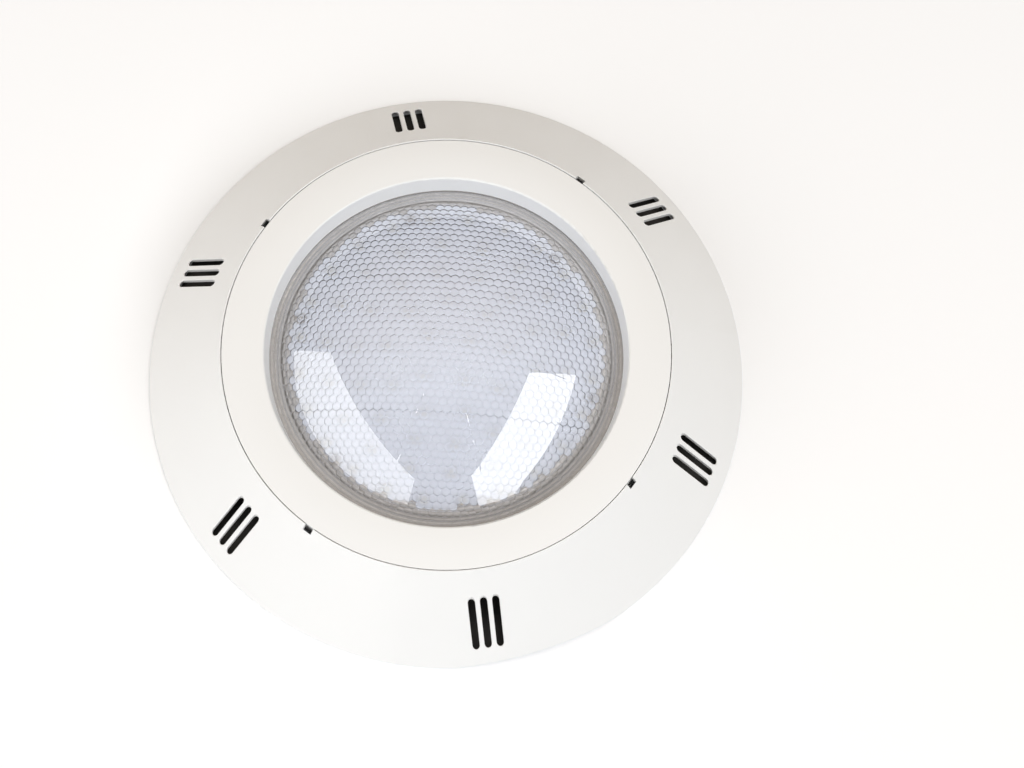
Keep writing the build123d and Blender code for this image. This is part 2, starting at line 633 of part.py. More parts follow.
with BuildPart() as radio_module:
    radio_spot = Location((*polar(*RADIO_PLACE), 0), RADIO_PLACE[1])
    with BuildSketch(Plane.XY.offset(driver_board_top)):
        with Locations(radio_spot):
            Rectangle(RADIO_BOARD_WIDTH, RADIO_BOARD_LENGTH)
    extrude(amount=RADIO_BOARD_THICKNESS)
    with BuildSketch(Plane.XY.offset(driver_board_top + RADIO_BOARD_THICKNESS)):
        with Locations(radio_spot):
            Rectangle(RADIO_CAN_WIDTH, RADIO_CAN_LENGTH)
    extrude(amount=RADIO_CAN_HEIGHT)
    fillet(radio_module.edges().group_by(Axis.Z)[-1], RADIO_CAN_ROUND)
save(radio_module.part, "radio_module")

antenna_top = driver_board_top + ANTENNA_RISE
antenna_foot = polar(ANTENNA_RADIUS, ANTENNA_FOOT_ANGLE)
antenna_tip = polar(ANTENNA_RADIUS - ANTENNA_WIRE_RADIUS, ANTENNA_TIP_ANGLE)

with BuildPart() as radio_antenna:
    with BuildLine():
        antenna_stem = Line((*antenna_foot, driver_board_top), (*antenna_foot, antenna_top))
    with BuildSketch(Plane.XY.offset(driver_board_top)):
        with Locations(antenna_foot):
            Circle(ANTENNA_WIRE_RADIUS)
    sweep(path=antenna_stem)
    with BuildLine():
        antenna_arm = Line((*antenna_foot, antenna_top), (*antenna_tip, antenna_top))
    with BuildSketch(Plane(origin=antenna_arm @ 0, z_dir=antenna_arm % 0)):
        Circle(ANTENNA_WIRE_RADIUS)
    sweep(path=antenna_arm)
save(radio_antenna.part, "radio_antenna")

with BuildPart() as terminal_block:
    terminal_angle = TERMINAL_PLACE[1]
    with BuildSketch(Plane.XY.offset(driver_board_top)):
        with Locations(Location((*polar(*TERMINAL_PLACE), 0), terminal_angle)):
            Rectangle(TERMINAL_WIDTH, TERMINAL_LENGTH)
    extrude(amount=TERMINAL_HEIGHT)
    chamfer(terminal_block.edges().group_by(Axis.Z)[-1], TERMINAL_CHAMFER)
    with BuildSketch(Plane.XY.offset(driver_board_top + TERMINAL_HEIGHT)):
        with Locations(Location((*polar(*TERMINAL_PLACE), 0), terminal_angle)):
            with Locations((0, -TERMINAL_SCREW_SPACING / 2), (0, TERMINAL_SCREW_SPACING / 2)):
                Circle(TERMINAL_WELL_RADIUS)
    extrude(amount=-TERMINAL_WELL_DEPTH, mode=Mode.SUBTRACT)
save(terminal_block.part, "terminal_block")

with BuildPart() as board_connector:
    with BuildSketch(Plane.XY.offset(driver_board_top)):
        with Locations(connector_place):
            Rectangle(CONNECTOR_LENGTH, CONNECTOR_WIDTH)
    extrude(amount=led_board_bottom - driver_board_top)
save(board_connector.part, "board_connector")

# ---- cable gland, along +X in the side of the back recess ------------------------------------

GLAND_HEX_LENGTH = 5.0
ORING_THICKNESS = 1.0
ORING_RADIUS = 6.6
LOCKNUT_LENGTH = 3.0
GLAND_TAIL_LENGTH = 8.0
GLAND_BORE_RADIUS = 4.0
SEAL_RADIUS = 5.0
SEAL_LENGTH = 6.5
SEAL_IN_BODY = 5.0
CAP_MOUTH_RADIUS = CABLE_RADIUS + 0.3
CAP_MOUTH_LENGTH = 2.5
CAP_GAP = 0.5

gland_hex_end = RECESS_RADIUS - ORING_THICKNESS
gland_hex_start = gland_hex_end - GLAND_HEX_LENGTH
gland_front = gland_hex_start - GLAND_TAIL_LENGTH
gland_back = recess_wall_outer_radius + LOCKNUT_LENGTH + 1
seal_back = gland_front + SEAL_IN_BODY
seal_front = seal_back - SEAL_LENGTH
cap_front = seal_front - CAP_MOUTH_LENGTH
cap_back = gland_hex_start - CAP_GAP


def gland_plane(along):
    """Plane across the gland's axis, a distance from the lamp's middle."""
    return Plane(origin=(along, 0, GLAND_HEIGHT), x_dir=(0, 1, 0), z_dir=(1, 0, 0))


with BuildPart() as gland_body:
    with BuildSketch(gland_plane(gland_front)):
        Circle(GLAND_THREAD_RADIUS)
    extrude(amount=gland_back - gland_front)
    with BuildSketch(gland_plane(gland_hex_start)):
        RegularPolygon(GLAND_HEX_RADIUS, 6)
    extrude(amount=GLAND_HEX_LENGTH)
    with BuildSketch(gland_plane(gland_front)):
        Circle(GLAND_BORE_RADIUS)
    extrude(amount=gland_back - gland_front, mode=Mode.SUBTRACT)
    with BuildSketch(gland_plane(gland_front)):
        Circle(SEAL_RADIUS)
    extrude(amount=SEAL_IN_BODY, mode=Mode.SUBTRACT)
save(gland_body.part, "gland_body")

with BuildPart() as gland_cap:
    with BuildSketch(gland_plane(cap_front)):
        RegularPolygon(GLAND_HEX_RADIUS, 6)
    extrude(amount=cap_back - cap_front)
    fillet(gland_cap.faces().sort_by(Axis.X)[0].edges(), 1.2)
    with BuildSketch(gland_plane(gland_front)):
        Circle(GLAND_THREAD_RADIUS)
    extrude(amount=cap_back - gland_front, mode=Mode.SUBTRACT)
    with BuildSketch(gland_plane(seal_front)):
        Circle(SEAL_RADIUS)
    extrude(amount=gland_front - seal_front, mode=Mode.SUBTRACT)
    with BuildSketch(gland_plane(cap_front)):
        Circle(CAP_MOUTH_RADIUS)
    extrude(amount=CAP_MOUTH_LENGTH, mode=Mode.SUBTRACT)
save(gland_cap.part, "gland_cap")

with BuildPart() as gland_seal:
    with BuildSketch(gland_plane(seal_front)):
        Circle(SEAL_RADIUS)
        Circle(CABLE_RADIUS, mode=Mode.SUBTRACT)
    extrude(amount=SEAL_LENGTH)
save(gland_seal.part, "gland_seal")

with BuildPart() as gland_oring:
    with BuildSketch(gland_plane(gland_hex_end)):
        Circle(ORING_RADIUS)
        Circle(GLAND_THREAD_RADIUS, mode=Mode.SUBTRACT)
    extrude(amount=ORING_THICKNESS)
save(gland_oring.part, "gland_oring")

with BuildPart() as gland_locknut:
    with BuildSketch(gland_plane(recess_wall_outer_radius)):
        RegularPolygon(GLAND_HEX_RADIUS, 6)
        Circle(GLAND_THREAD_RADIUS, mode=Mode.SUBTRACT)
    extrude(amount=LOCKNUT_LENGTH)
save(gland_locknut.part, "gland_locknut")

# ---- fixings of the lamp and the face ring ---------------------------------------------------

WASHER_THICKNESS = 1.0
WASHER_RADIUS = 4.6

washer = make_tube(ear_top, ear_top + WASHER_THICKNESS, WASHER_RADIUS, M4_RADIUS + 0.1)
with BuildPart() as captive_washers:
    with PolarLocations(POST_CIRCLE_RADIUS, POST_COUNT):
        add(washer)
save(captive_washers.part, "captive_washers")

captive_screw = make_screw(
    ear_top + WASHER_THICKNESS, M4_RADIUS, CAPTIVE_SCREW_LENGTH, M4_HEAD_RADIUS, M4_HEAD_HEIGHT)
with BuildPart() as captive_screws:
    with PolarLocations(POST_CIRCLE_RADIUS, POST_COUNT):
        add(captive_screw)
save(captive_screws.part, "captive_screws")

CLIP_WIDTH = 8.0
CLIP_THICKNESS = 0.8
CLIP_HUMP_RADIUS = 110.9
CLIP_HUMP_HEIGHT = 32.4
CLIP_BOTTOM = bezel_bottom + 0.2
CLIP_TOP = 34.6
CATCH_RADIUS = CLIP_HUMP_RADIUS + 0.1
CATCH_TOP = 29.5
CATCH_BOTTOM = 26.5
CATCH_WIDTH = 10.0

with BuildPart() as ring_clips:
    clip_back = BEZEL_RADIUS
    clip_front = BEZEL_RADIUS + CLIP_THICKNESS
    for angle in angles_round(NOTCH_COUNT, NOTCH_FIRST_ANGLE):
        with BuildSketch(upright_plane(angle)):
            with BuildLine():
                Polyline(
                    (clip_back, CLIP_BOTTOM),
                    (clip_back, CLIP_HUMP_HEIGHT - 1.6),
                    (CLIP_HUMP_RADIUS - CLIP_THICKNESS, CLIP_HUMP_HEIGHT),
                    (clip_back + 0.3, CLIP_TOP),
                    (clip_front + 0.3, CLIP_TOP + 0.3),
                    (CLIP_HUMP_RADIUS, CLIP_HUMP_HEIGHT + 0.2),
                    (CLIP_HUMP_RADIUS, CLIP_HUMP_HEIGHT - 0.4),
                    (clip_front, CLIP_HUMP_HEIGHT - 2.2),
                    (clip_front, CLIP_BOTTOM),
                    close=True,
                )
            make_face()
        extrude(amount=CLIP_WIDTH / 2, both=True)
        with BuildSketch(skirt_plane(angle, CLIP_SCREW_HEIGHT)):
            Circle(CLIP_SCREW_RADIUS)
        extrude(amount=CLIP_THICKNESS, mode=Mode.SUBTRACT)
save(ring_clips.part, "ring_clips")

with BuildPart() as clip_screws:
    for angle in angles_round(NOTCH_COUNT, NOTCH_FIRST_ANGLE):
        clip_face = skirt_plane(angle, CLIP_SCREW_HEIGHT, CLIP_THICKNESS)
        with BuildSketch(clip_face):
            Circle(CLIP_SCREW_HEAD_RADIUS)
        extrude(amount=CLIP_SCREW_HEAD_HEIGHT)
        with BuildSketch(clip_face):
            Circle(CLIP_SCREW_RADIUS)
        extrude(amount=-(CLIP_THICKNESS + BEZEL_WALL - 0.3))
        with BuildSketch(skirt_plane(angle, CLIP_SCREW_HEIGHT, CLIP_THICKNESS + CLIP_SCREW_HEAD_HEIGHT)):
            Rectangle(CLIP_CROSS_WIDTH, CLIP_CROSS_LENGTH)
            Rectangle(CLIP_CROSS_LENGTH, CLIP_CROSS_WIDTH)
        extrude(amount=-CLIP_CROSS_DEPTH, mode=Mode.SUBTRACT)
save(clip_screws.part, "clip_screws")

# ---- face ring --------------------------------------------------------------------------------

GUIDE_RIB_ANGLES = [15, 75, 105, 165, 195, 255, 285, 345]
GUIDE_RIB_WIDTH = 2.0
GUIDE_RIB_BOTTOM = 33.5
GUIDE_CLEARANCE = 0.3
SKIN = 0.2
guide_rib_top = ring_hole_underside - 2

relief_circle_radius = (RELIEF_LENGTH / 2) ** 2 / (2 * RELIEF_HEIGHT)

with BuildPart() as face_ring:
    with BuildSketch(Plane.XZ):
        Polygon(
            (RING_OUTER_RADIUS, 0),
            (RING_OUTER_RADIUS, RING_RIM_LAND),
            (RING_HOLE_RADIUS, RING_HEIGHT),
            (RING_HOLE_RADIUS, ring_hole_underside),
            (ring_inner_rim_radius, 0),
            align=None,
        )
    revolve(axis=Axis.Z)
    circles = face_ring.edges().filter_by(GeomType.CIRCLE)
    fillet(circles.group_by(SortBy.RADIUS)[-1], RING_RIM_ROUND)
    fillet(face_ring.edges().filter_by(GeomType.CIRCLE).group_by(Axis.Z)[-1], RING_EDGE_ROUND)

    # Slots, cut straight through along Z, with softened outer edges.
    with BuildSketch():
        with PolarLocations((SLOT_INNER_RADIUS + SLOT_OUTER_RADIUS) / 2, SLOT_GROUPS, SLOT_FIRST_ANGLE):
            with Locations((0, -SLOT_PITCH), (0, 0), (0, SLOT_PITCH)):
                SlotOverall(SLOT_OUTER_RADIUS - SLOT_INNER_RADIUS, SLOT_WIDTH)
    extrude(amount=RING_HEIGHT, mode=Mode.SUBTRACT)
    outer_cone = face_ring.faces().filter_by(GeomType.CONE).sort_by(SortBy.AREA)[-1]
    slot_edges = ShapeList(edge for wire in outer_cone.inner_wires() for edge in wire.edges())
    fillet(slot_edges, SLOT_EDGE_ROUND)

    # Release notches in the edge of the hole.
    with BuildSketch(Plane.XY.offset(ring_hole_underside - NOTCH_DEPTH * tan(ring_slope) - 1)):
        with PolarLocations(RING_HOLE_RADIUS, NOTCH_COUNT, NOTCH_FIRST_ANGLE):
            Rectangle(2 * NOTCH_DEPTH, NOTCH_WIDTH)
    extrude(amount=RING_HEIGHT, mode=Mode.SUBTRACT)

    # Ledges that the spring clips hold, and ribs that centre the ring on the bezel's skirt.
    for angle in angles_round(NOTCH_COUNT, NOTCH_FIRST_ANGLE):
        with BuildSketch(upright_plane(angle)):
            Polygon(
                (CATCH_RADIUS, CATCH_TOP),
                (CATCH_RADIUS, CATCH_BOTTOM),
                (ring_inner_radius(CATCH_BOTTOM) + SKIN, CATCH_BOTTOM),
                (ring_inner_radius(CATCH_TOP) + SKIN, CATCH_TOP),
                align=None,
            )
        extrude(amount=CATCH_WIDTH / 2, both=True)
    for angle in GUIDE_RIB_ANGLES:
        with BuildSketch(upright_plane(angle)):
            Polygon(
                (BEZEL_RADIUS + GUIDE_CLEARANCE, guide_rib_top),
                (BEZEL_RADIUS + GUIDE_CLEARANCE, GUIDE_RIB_BOTTOM),
                (ring_inner_radius(GUIDE_RIB_BOTTOM) + SKIN, GUIDE_RIB_BOTTOM),
                (ring_inner_radius(guide_rib_top) + SKIN, guide_rib_top),
                align=None,
            )
        extrude(amount=GUIDE_RIB_WIDTH / 2, both=True)

    # Flat arch in the rim.
    relief_turn = radians(RELIEF_ANGLE)
    relief_plane = Plane(
        origin=(RING_OUTER_RADIUS * cos(relief_turn), RING_OUTER_RADIUS * sin(relief_turn), 0),
        x_dir=(-sin(relief_turn), cos(relief_turn), 0),
        z_dir=(cos(relief_turn), sin(relief_turn), 0),
    )
    with BuildSketch(relief_plane):
        with Locations((0, RELIEF_HEIGHT - relief_circle_radius)):
            Circle(relief_circle_radius)
    extrude(amount=RELIEF_REACH, both=True, mode=Mode.SUBTRACT)
save(face_ring.part, "face_ring")
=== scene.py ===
"""Underwater pool light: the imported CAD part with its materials, a detailed prismatic lens and studio light.

Units are metres. The part lies on its back on a plain floor, with +Z out of its face.
"""
import math

import bmesh
import bpy
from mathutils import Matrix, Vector


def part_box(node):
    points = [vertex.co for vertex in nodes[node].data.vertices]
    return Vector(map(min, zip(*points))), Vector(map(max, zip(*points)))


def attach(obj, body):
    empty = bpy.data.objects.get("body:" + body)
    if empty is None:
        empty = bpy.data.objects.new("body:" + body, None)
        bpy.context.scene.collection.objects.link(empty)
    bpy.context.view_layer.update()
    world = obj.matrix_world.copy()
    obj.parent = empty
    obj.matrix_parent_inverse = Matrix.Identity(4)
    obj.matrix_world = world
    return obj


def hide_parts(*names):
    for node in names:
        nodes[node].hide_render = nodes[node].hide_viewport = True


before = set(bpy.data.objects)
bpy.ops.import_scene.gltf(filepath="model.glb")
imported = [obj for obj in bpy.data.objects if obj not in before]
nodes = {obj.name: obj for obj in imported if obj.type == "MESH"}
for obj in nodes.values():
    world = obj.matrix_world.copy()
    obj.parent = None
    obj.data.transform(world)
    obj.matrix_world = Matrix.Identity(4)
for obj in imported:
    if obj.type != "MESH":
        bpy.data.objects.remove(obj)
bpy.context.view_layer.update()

MM = 0.001

# ---- camera --------------------------------------------------------------------------------

CAMERA_AZIMUTH = math.radians(-8.36)
CAMERA_ELEVATION = math.radians(73.09)
CAMERA_DISTANCE = 1.646
CAMERA_LENS_MM = 118.125
SENSOR_WIDTH_MM = 36.0
AIM_TO_THE_RIGHT = 0.03209
AIM_BELOW = 0.00299
CLIP_START = 0.05
CLIP_END = 50


def direction(azimuth, elevation):
    """Unit vector from the part towards a place, with azimuth from +X about +Z."""
    return Vector((
        math.cos(azimuth) * math.cos(elevation),
        math.sin(azimuth) * math.cos(elevation),
        math.sin(elevation),
    ))


def turned(vector, axis, angle):
    """A vector turned about an axis by the right-hand rule."""
    across = axis.cross(vector)
    lengthwise = axis * axis.dot(vector)
    return vector * math.cos(angle) + across * math.sin(angle) + lengthwise * (1 - math.cos(angle))


def add_camera():
    """Camera above the near side, turned aside a little, so that the part stands left of the middle."""
    back = direction(CAMERA_AZIMUTH - math.pi / 2, CAMERA_ELEVATION)
    right = Vector((math.cos(CAMERA_AZIMUTH), math.sin(CAMERA_AZIMUTH), 0))
    up = back.cross(right)
    yaw = -math.atan(AIM_TO_THE_RIGHT / CAMERA_DISTANCE)
    pitch = math.atan(AIM_BELOW / math.hypot(CAMERA_DISTANCE, AIM_TO_THE_RIGHT))
    back_yawed = turned(back, up, yaw)
    camera_right = turned(right, up, yaw)
    camera_back = turned(back_yawed, camera_right, -pitch)
    camera_up = camera_back.cross(camera_right)
    data = bpy.data.cameras.new("camera")
    data.lens = CAMERA_LENS_MM
    data.sensor_width = SENSOR_WIDTH_MM
    data.clip_start = CLIP_START
    data.clip_end = CLIP_END
    camera = bpy.data.objects.new("camera", data)
    bpy.context.scene.collection.objects.link(camera)
    place = camera.matrix_world.copy()
    for row in range(3):
        place[row][0] = camera_right[row]
        place[row][1] = camera_up[row]
        place[row][2] = camera_back[row]
        place[row][3] = back[row] * CAMERA_DISTANCE
    camera.matrix_world = place
    bpy.context.scene.camera = camera


# ---- light ---------------------------------------------------------------------------------

# The ends, the bottom and the top of a soft box are multiples of its distance. Its mirror gain is how many
# times brighter a reflection shows it.
SOFTBOXES = {
    "softbox_left": {
        "radiance": 1.68, "mirror_gain": 1.9, "azimuth": math.radians(205), "distance": 1.7,
        "left_end": -1.28, "right_end": 0.78, "bottom": 0.12, "top": 1.22,
    },
    "softbox_right": {
        "radiance": 4.6, "mirror_gain": 1.1, "azimuth": math.radians(-33), "distance": 1.3,
        "left_end": -1.19, "right_end": 0.63, "bottom": 0.74, "top": 1.62,
    },
}
ZENITH_RADIANCE = 1.12
HORIZON_RADIANCE = 0.03
FILL_GROWTH = 2.0
# Tint of the fill along Y, from near (0) through overhead (0.5) to far (1).
FILL_TINTS = ((0.31, (0.20, 0.20, 0.21, 1)), (0.50, (1.0, 0.99, 0.98, 1)), (0.90, (0.88, 0.62, 0.32, 1)))


def add_softbox(name, radiance, mirror_gain, azimuth, distance, left_end, right_end, bottom, top):
    """Upright soft light that faces the part. A path that has left a glossy surface meets it brighter."""
    width = (right_end - left_end) * distance
    height = (top - bottom) * distance
    data = bpy.data.lights.new(name, "AREA")
    data.shape = "RECTANGLE"
    data.size = width
    data.size_y = height
    data.energy = radiance * math.pi * width * height
    data.use_nodes = True
    tree = data.node_tree
    emission = tree.nodes["Emission"]
    path = tree.nodes.new("ShaderNodeLightPath")
    gain = tree.nodes.new("ShaderNodeMapRange")
    gain.inputs["To Min"].default_value = 1.0
    gain.inputs["To Max"].default_value = mirror_gain
    tree.links.new(path.outputs["Glossy Depth"], gain.inputs["Value"])
    tree.links.new(gain.outputs["Result"], emission.inputs["Strength"])
    lamp = bpy.data.objects.new(name, data)
    bpy.context.scene.collection.objects.link(lamp)
    towards = direction(azimuth, 0)
    sideways = direction(azimuth + math.pi / 2, 0)
    lamp.location = towards * distance + sideways * (left_end + right_end) / 2 * distance
    lamp.location.z = (bottom + top) / 2 * distance
    lamp.rotation_euler = towards.to_track_quat("Z", "Y").to_euler()


def add_world():
    """Soft fill that grows towards the zenith, warm from the far side and dim from the near side."""
    world = bpy.data.worlds.new("studio")
    world.use_nodes = True
    tree = world.node_tree
    background = tree.nodes["Background"]
    place = tree.nodes.new("ShaderNodeTexCoord")
    split = tree.nodes.new("ShaderNodeSeparateXYZ")
    along = tree.nodes.new("ShaderNodeMapRange")
    along.inputs["From Min"].default_value = -1.0
    tint = tree.nodes.new("ShaderNodeValToRGB")
    stops = tint.color_ramp.elements
    stops.new(FILL_TINTS[1][0])
    for stop, (spot, colour) in zip(stops, FILL_TINTS):
        stop.position = spot
        stop.color = colour
    tree.links.new(place.outputs["Generated"], split.inputs["Vector"])
    tree.links.new(split.outputs["Y"], along.inputs["Value"])
    tree.links.new(along.outputs["Result"], tint.inputs["Fac"])
    tree.links.new(tint.outputs["Color"], background.inputs["Color"])
    height = tree.nodes.new("ShaderNodeClamp")
    growth = tree.nodes.new("ShaderNodeMath")
    growth.operation = "POWER"
    growth.inputs[1].default_value = FILL_GROWTH
    strength = tree.nodes.new("ShaderNodeMapRange")
    strength.inputs["To Min"].default_value = HORIZON_RADIANCE
    strength.inputs["To Max"].default_value = ZENITH_RADIANCE
    tree.links.new(split.outputs["Z"], height.inputs["Value"])
    tree.links.new(height.outputs["Result"], growth.inputs[0])
    tree.links.new(growth.outputs["Value"], strength.inputs["Value"])
    tree.links.new(strength.outputs["Result"], background.inputs["Strength"])
    bpy.context.scene.world = world


def set_view_transform():
    settings = bpy.context.scene.view_settings
    settings.view_transform = "Standard"
    settings.look = "None"


FLOOR_HALF_SIDE = 8.0
FLOOR_DROP = 0.2 * MM
FLOOR_COLOUR = (0.95, 0.96, 0.975, 1)
FLOOR_GLOW = 0.05
FLOOR_ROUGHNESS = 0.8
FLOOR_GLOSS = 0.1


def add_floor():
    """Plain pale table top, wide enough for every view."""
    data = bpy.data.meshes.new("floor")
    half = FLOOR_HALF_SIDE
    corners = [(-half, -half, 0), (half, -half, 0), (half, half, 0), (-half, half, 0)]
    data.from_pydata(corners, [], [(0, 1, 2, 3)])
    floor = bpy.data.objects.new("floor", data)
    bpy.context.scene.collection.objects.link(floor)
    floor.location.z = -FLOOR_DROP
    material = bpy.data.materials.new("floor_paper")
    material.use_nodes = True
    surface = material.node_tree.nodes["Principled BSDF"]
    surface.inputs["Base Color"].default_value = FLOOR_COLOUR
    surface.inputs["Emission Color"].default_value = (1, 1, 1, 1)
    surface.inputs["Emission Strength"].default_value = FLOOR_GLOW
    surface.inputs["Roughness"].default_value = FLOOR_ROUGHNESS
    surface.inputs["Specular IOR Level"].default_value = FLOOR_GLOSS
    data.materials.append(material)


# ---- materials -------------------------------------------------------------------------------


class Maker:
    """Small helper that adds and links shader nodes in one material."""

    def __init__(self, name):
        self.material = bpy.data.materials.new(name)
        self.material.use_nodes = True
        self.tree = self.material.node_tree
        self.surface = self.tree.nodes["Principled BSDF"]
        self.output = self.tree.nodes["Material Output"]

    def add(self, kind, settings=None, **values):
        node = self.tree.nodes.new(kind)
        for key, value in (settings or {}).items():
            setattr(node, key, value)
        for key, value in values.items():
            node.inputs[key.replace("_", " ")].default_value = value
        return node

    def link(self, source, target):
        self.tree.links.new(source, target)

    def set(self, **values):
        for key, value in values.items():
            self.surface.inputs[key.replace("_", " ")].default_value = value

    def position(self):
        return self.add("ShaderNodeTexCoord").outputs["Object"]

    def noise(self, scale, detail=3.0):
        """Cloudy factor. The scale counts its blotches per metre."""
        node = self.add("ShaderNodeTexNoise", Scale=scale, Detail=detail)
        self.link(self.position(), node.inputs["Vector"])
        return node.outputs["Fac"]

    def ramp(self, factor, low, high, start=0.3, end=0.7):
        """Factor stretched from start..end onto low..high."""
        node = self.add("ShaderNodeMapRange", From_Min=start, From_Max=end, To_Min=low, To_Max=high)
        self.link(factor, node.inputs["Value"])
        return node.outputs["Result"]

    def mix_colour(self, factor, first, second):
        node = self.add("ShaderNodeMix", {"data_type": "RGBA"})
        self.link(factor, node.inputs[0])
        for socket, value in ((node.inputs[6], first), (node.inputs[7], second)):
            if isinstance(value, tuple):
                socket.default_value = (*value[:3], 1)
            else:
                self.link(value, socket)
        return node.outputs[2]

    def edges(self, radius, least_lean=0.93, full_lean=0.70):
        """1 on sharp edges and 0 elsewhere, from the cosine of a bevelled normal's lean from the true one."""
        bevel = self.add("ShaderNodeBevel", {"samples": 4}, Radius=radius)
        geometry = self.add("ShaderNodeNewGeometry")
        lean = self.add("ShaderNodeVectorMath", {"operation": "DOT_PRODUCT"})
        self.link(bevel.outputs["Normal"], lean.inputs[0])
        self.link(geometry.outputs["Normal"], lean.inputs[1])
        return self.ramp(lean.outputs["Value"], 1.0, 0.0, full_lean, least_lean)

    def bump(self, height, distance):
        node = self.add("ShaderNodeBump", Distance=distance)
        self.link(height, node.inputs["Height"])
        self.link(node.outputs["Normal"], self.surface.inputs["Normal"])


def darker(colour, share):
    return tuple(channel * (1 - share) for channel in colour)


def paler(colour, gain, dust=0.0):
    return tuple(min(1.0, channel * gain + dust) for channel in colour)


def plastic(name, colour, roughness, grain, mottle=0.03, rubbed=0.06):
    """Moulded plastic: faint mottling, an uneven gloss, a fine grain and, if wanted, lightly rubbed edges."""
    m = Maker(name)
    mottling = m.ramp(m.noise(scale=35, detail=4), 0, 1)
    shade = m.mix_colour(mottling, colour, darker(colour, mottle))
    if rubbed:
        shade = m.mix_colour(m.edges(radius=0.6 * MM), shade, darker(colour, rubbed))
    m.link(shade, m.surface.inputs["Base Color"])
    gloss = m.ramp(m.noise(scale=60, detail=5), low=roughness * 0.85, high=roughness * 1.2)
    m.link(gloss, m.surface.inputs["Roughness"])
    m.bump(m.noise(scale=1400, detail=2), distance=grain)
    return m.material


def rubber(name, colour):
    """Matt rubber with a dusty, slightly uneven face."""
    m = Maker(name)
    dusty = paler(colour, gain=1.3, dust=0.015)
    m.link(m.mix_colour(m.noise(scale=220, detail=4), colour, dusty), m.surface.inputs["Base Color"])
    m.link(m.ramp(m.noise(scale=400), low=0.62, high=0.8), m.surface.inputs["Roughness"])
    m.bump(m.noise(scale=1800), distance=0.04 * MM)
    return m.material


def metal(name, colour, roughness, stretch=(1, 1, 1)):
    """Machined metal: grain along one way, patches of tarnish and bright worn edges."""
    m = Maker(name)
    mapping = m.add("ShaderNodeMapping", Scale=stretch)
    m.link(m.position(), mapping.inputs["Vector"])
    grain = m.add("ShaderNodeTexNoise", Scale=900.0, Detail=3.0)
    m.link(mapping.outputs["Vector"], grain.inputs["Vector"])
    tarnished = m.mix_colour(m.noise(scale=120), colour, darker(colour, share=0.22))
    worn = m.mix_colour(m.edges(radius=0.3 * MM), tarnished, paler(colour, gain=1.15))
    m.link(worn, m.surface.inputs["Base Color"])
    m.set(Metallic=1.0)
    gloss = m.ramp(grain.outputs["Fac"], low=roughness * 0.75, high=roughness * 1.35)
    m.link(gloss, m.surface.inputs["Roughness"])
    m.bump(grain.outputs["Fac"], distance=0.03 * MM)
    return m.material


def circuit_board(name, mask, track):
    """Solder mask with the faint relief of copper tracks under it."""
    m = Maker(name)
    bricks = m.add("ShaderNodeTexBrick", Scale=170.0, Mortar_Size=0.03, Mortar_Smooth=0.2)
    bricks.inputs["Color1"].default_value = (0, 0, 0, 1)
    bricks.inputs["Color2"].default_value = (0.25, 0.25, 0.25, 1)
    bricks.inputs["Mortar"].default_value = (1, 1, 1, 1)
    m.link(m.position(), bricks.inputs["Vector"])
    m.link(m.mix_colour(bricks.outputs["Color"], mask, track), m.surface.inputs["Base Color"])
    m.link(m.ramp(m.noise(scale=300, detail=2), low=0.28, high=0.4), m.surface.inputs["Roughness"])
    m.bump(bricks.outputs["Color"], distance=0.05 * MM)
    return m.material


def paint(material, *names):
    """Gives CAD nodes a material."""
    for name in names:
        mesh = nodes[name].data
        mesh.materials.clear()
        mesh.materials.append(material)


def paint_plastics():
    white = (0.88, 0.885, 0.88)
    white_abs = plastic("white_abs", white, roughness=0.34, grain=0.004 * MM, mottle=0.006, rubbed=0)
    paint(white_abs, "face_ring", "bezel")
    paint(plastic("rear_abs", (0.80, 0.80, 0.785), roughness=0.42, grain=0.02 * MM), "rear_shell")
    # The wall plate is painted near black as painted shade: it stands for the dark inside that shows through
    # the face ring's slots.
    paint(plastic("bracket_abs", (0.03, 0.027, 0.024), roughness=0.55, grain=0.03 * MM), "wall_plate")
    nylon = plastic("gland_nylon", (0.74, 0.74, 0.71), roughness=0.38, grain=0.02 * MM)
    paint(nylon, "gland_body", "gland_cap", "gland_locknut")
    paint(plastic("green_nylon", (0.05, 0.25, 0.10), roughness=0.4, grain=0.02 * MM), "terminal_block")
    epoxy = plastic("black_epoxy", (0.02, 0.02, 0.022), roughness=0.5, grain=0.03 * MM)
    paint(epoxy, "driver_chips", "bridge_rectifier", "board_connector")
    paint(plastic("capacitor_sleeve", (0.02, 0.03, 0.08), roughness=0.25, grain=0.01 * MM), "capacitors")
    paint(plastic("led_package", (0.72, 0.75, 0.79), roughness=0.34, grain=0.01 * MM), "led_emitters")
    paint(plastic("led_phosphor", (0.66, 0.66, 0.62), roughness=0.34, grain=0.01 * MM), "led_windows")


def paint_rubbers():
    seal_rubber = rubber("seal_rubber", (0.02, 0.02, 0.02))
    paint(seal_rubber, "wall_gasket", "shell_seal", "gland_seal", "gland_oring", "captive_washers")
    paint(rubber("pale_silicone", (0.50, 0.49, 0.46)), "lens_gasket")


def paint_metals():
    stainless = metal("stainless", (0.62, 0.62, 0.63), roughness=0.28, stretch=(1, 1, 8))
    paint(stainless, "bezel_screws", "spreader_screws", "driver_screws", "captive_screws", "clip_screws")
    paint(stainless, "ring_clips", "radio_module")
    brass = metal("brass", (0.78, 0.58, 0.25), roughness=0.3)
    paint(brass, "threaded_inserts", "board_standoffs", "radio_antenna")
    paint(metal("aluminium", (0.78, 0.79, 0.80), roughness=0.38, stretch=(1, 12, 1)), "heat_spreader")
    paint(metal("copper_winding", (0.75, 0.32, 0.12), roughness=0.3), "inductors")


def paint_boards():
    paint(circuit_board("board_white", mask=(0.78, 0.82, 0.89), track=(0.75, 0.79, 0.86)), "led_board")
    paint(circuit_board("board_green", mask=(0.02, 0.16, 0.06), track=(0.03, 0.24, 0.09)), "driver_board")


# ---- lens ------------------------------------------------------------------------------------

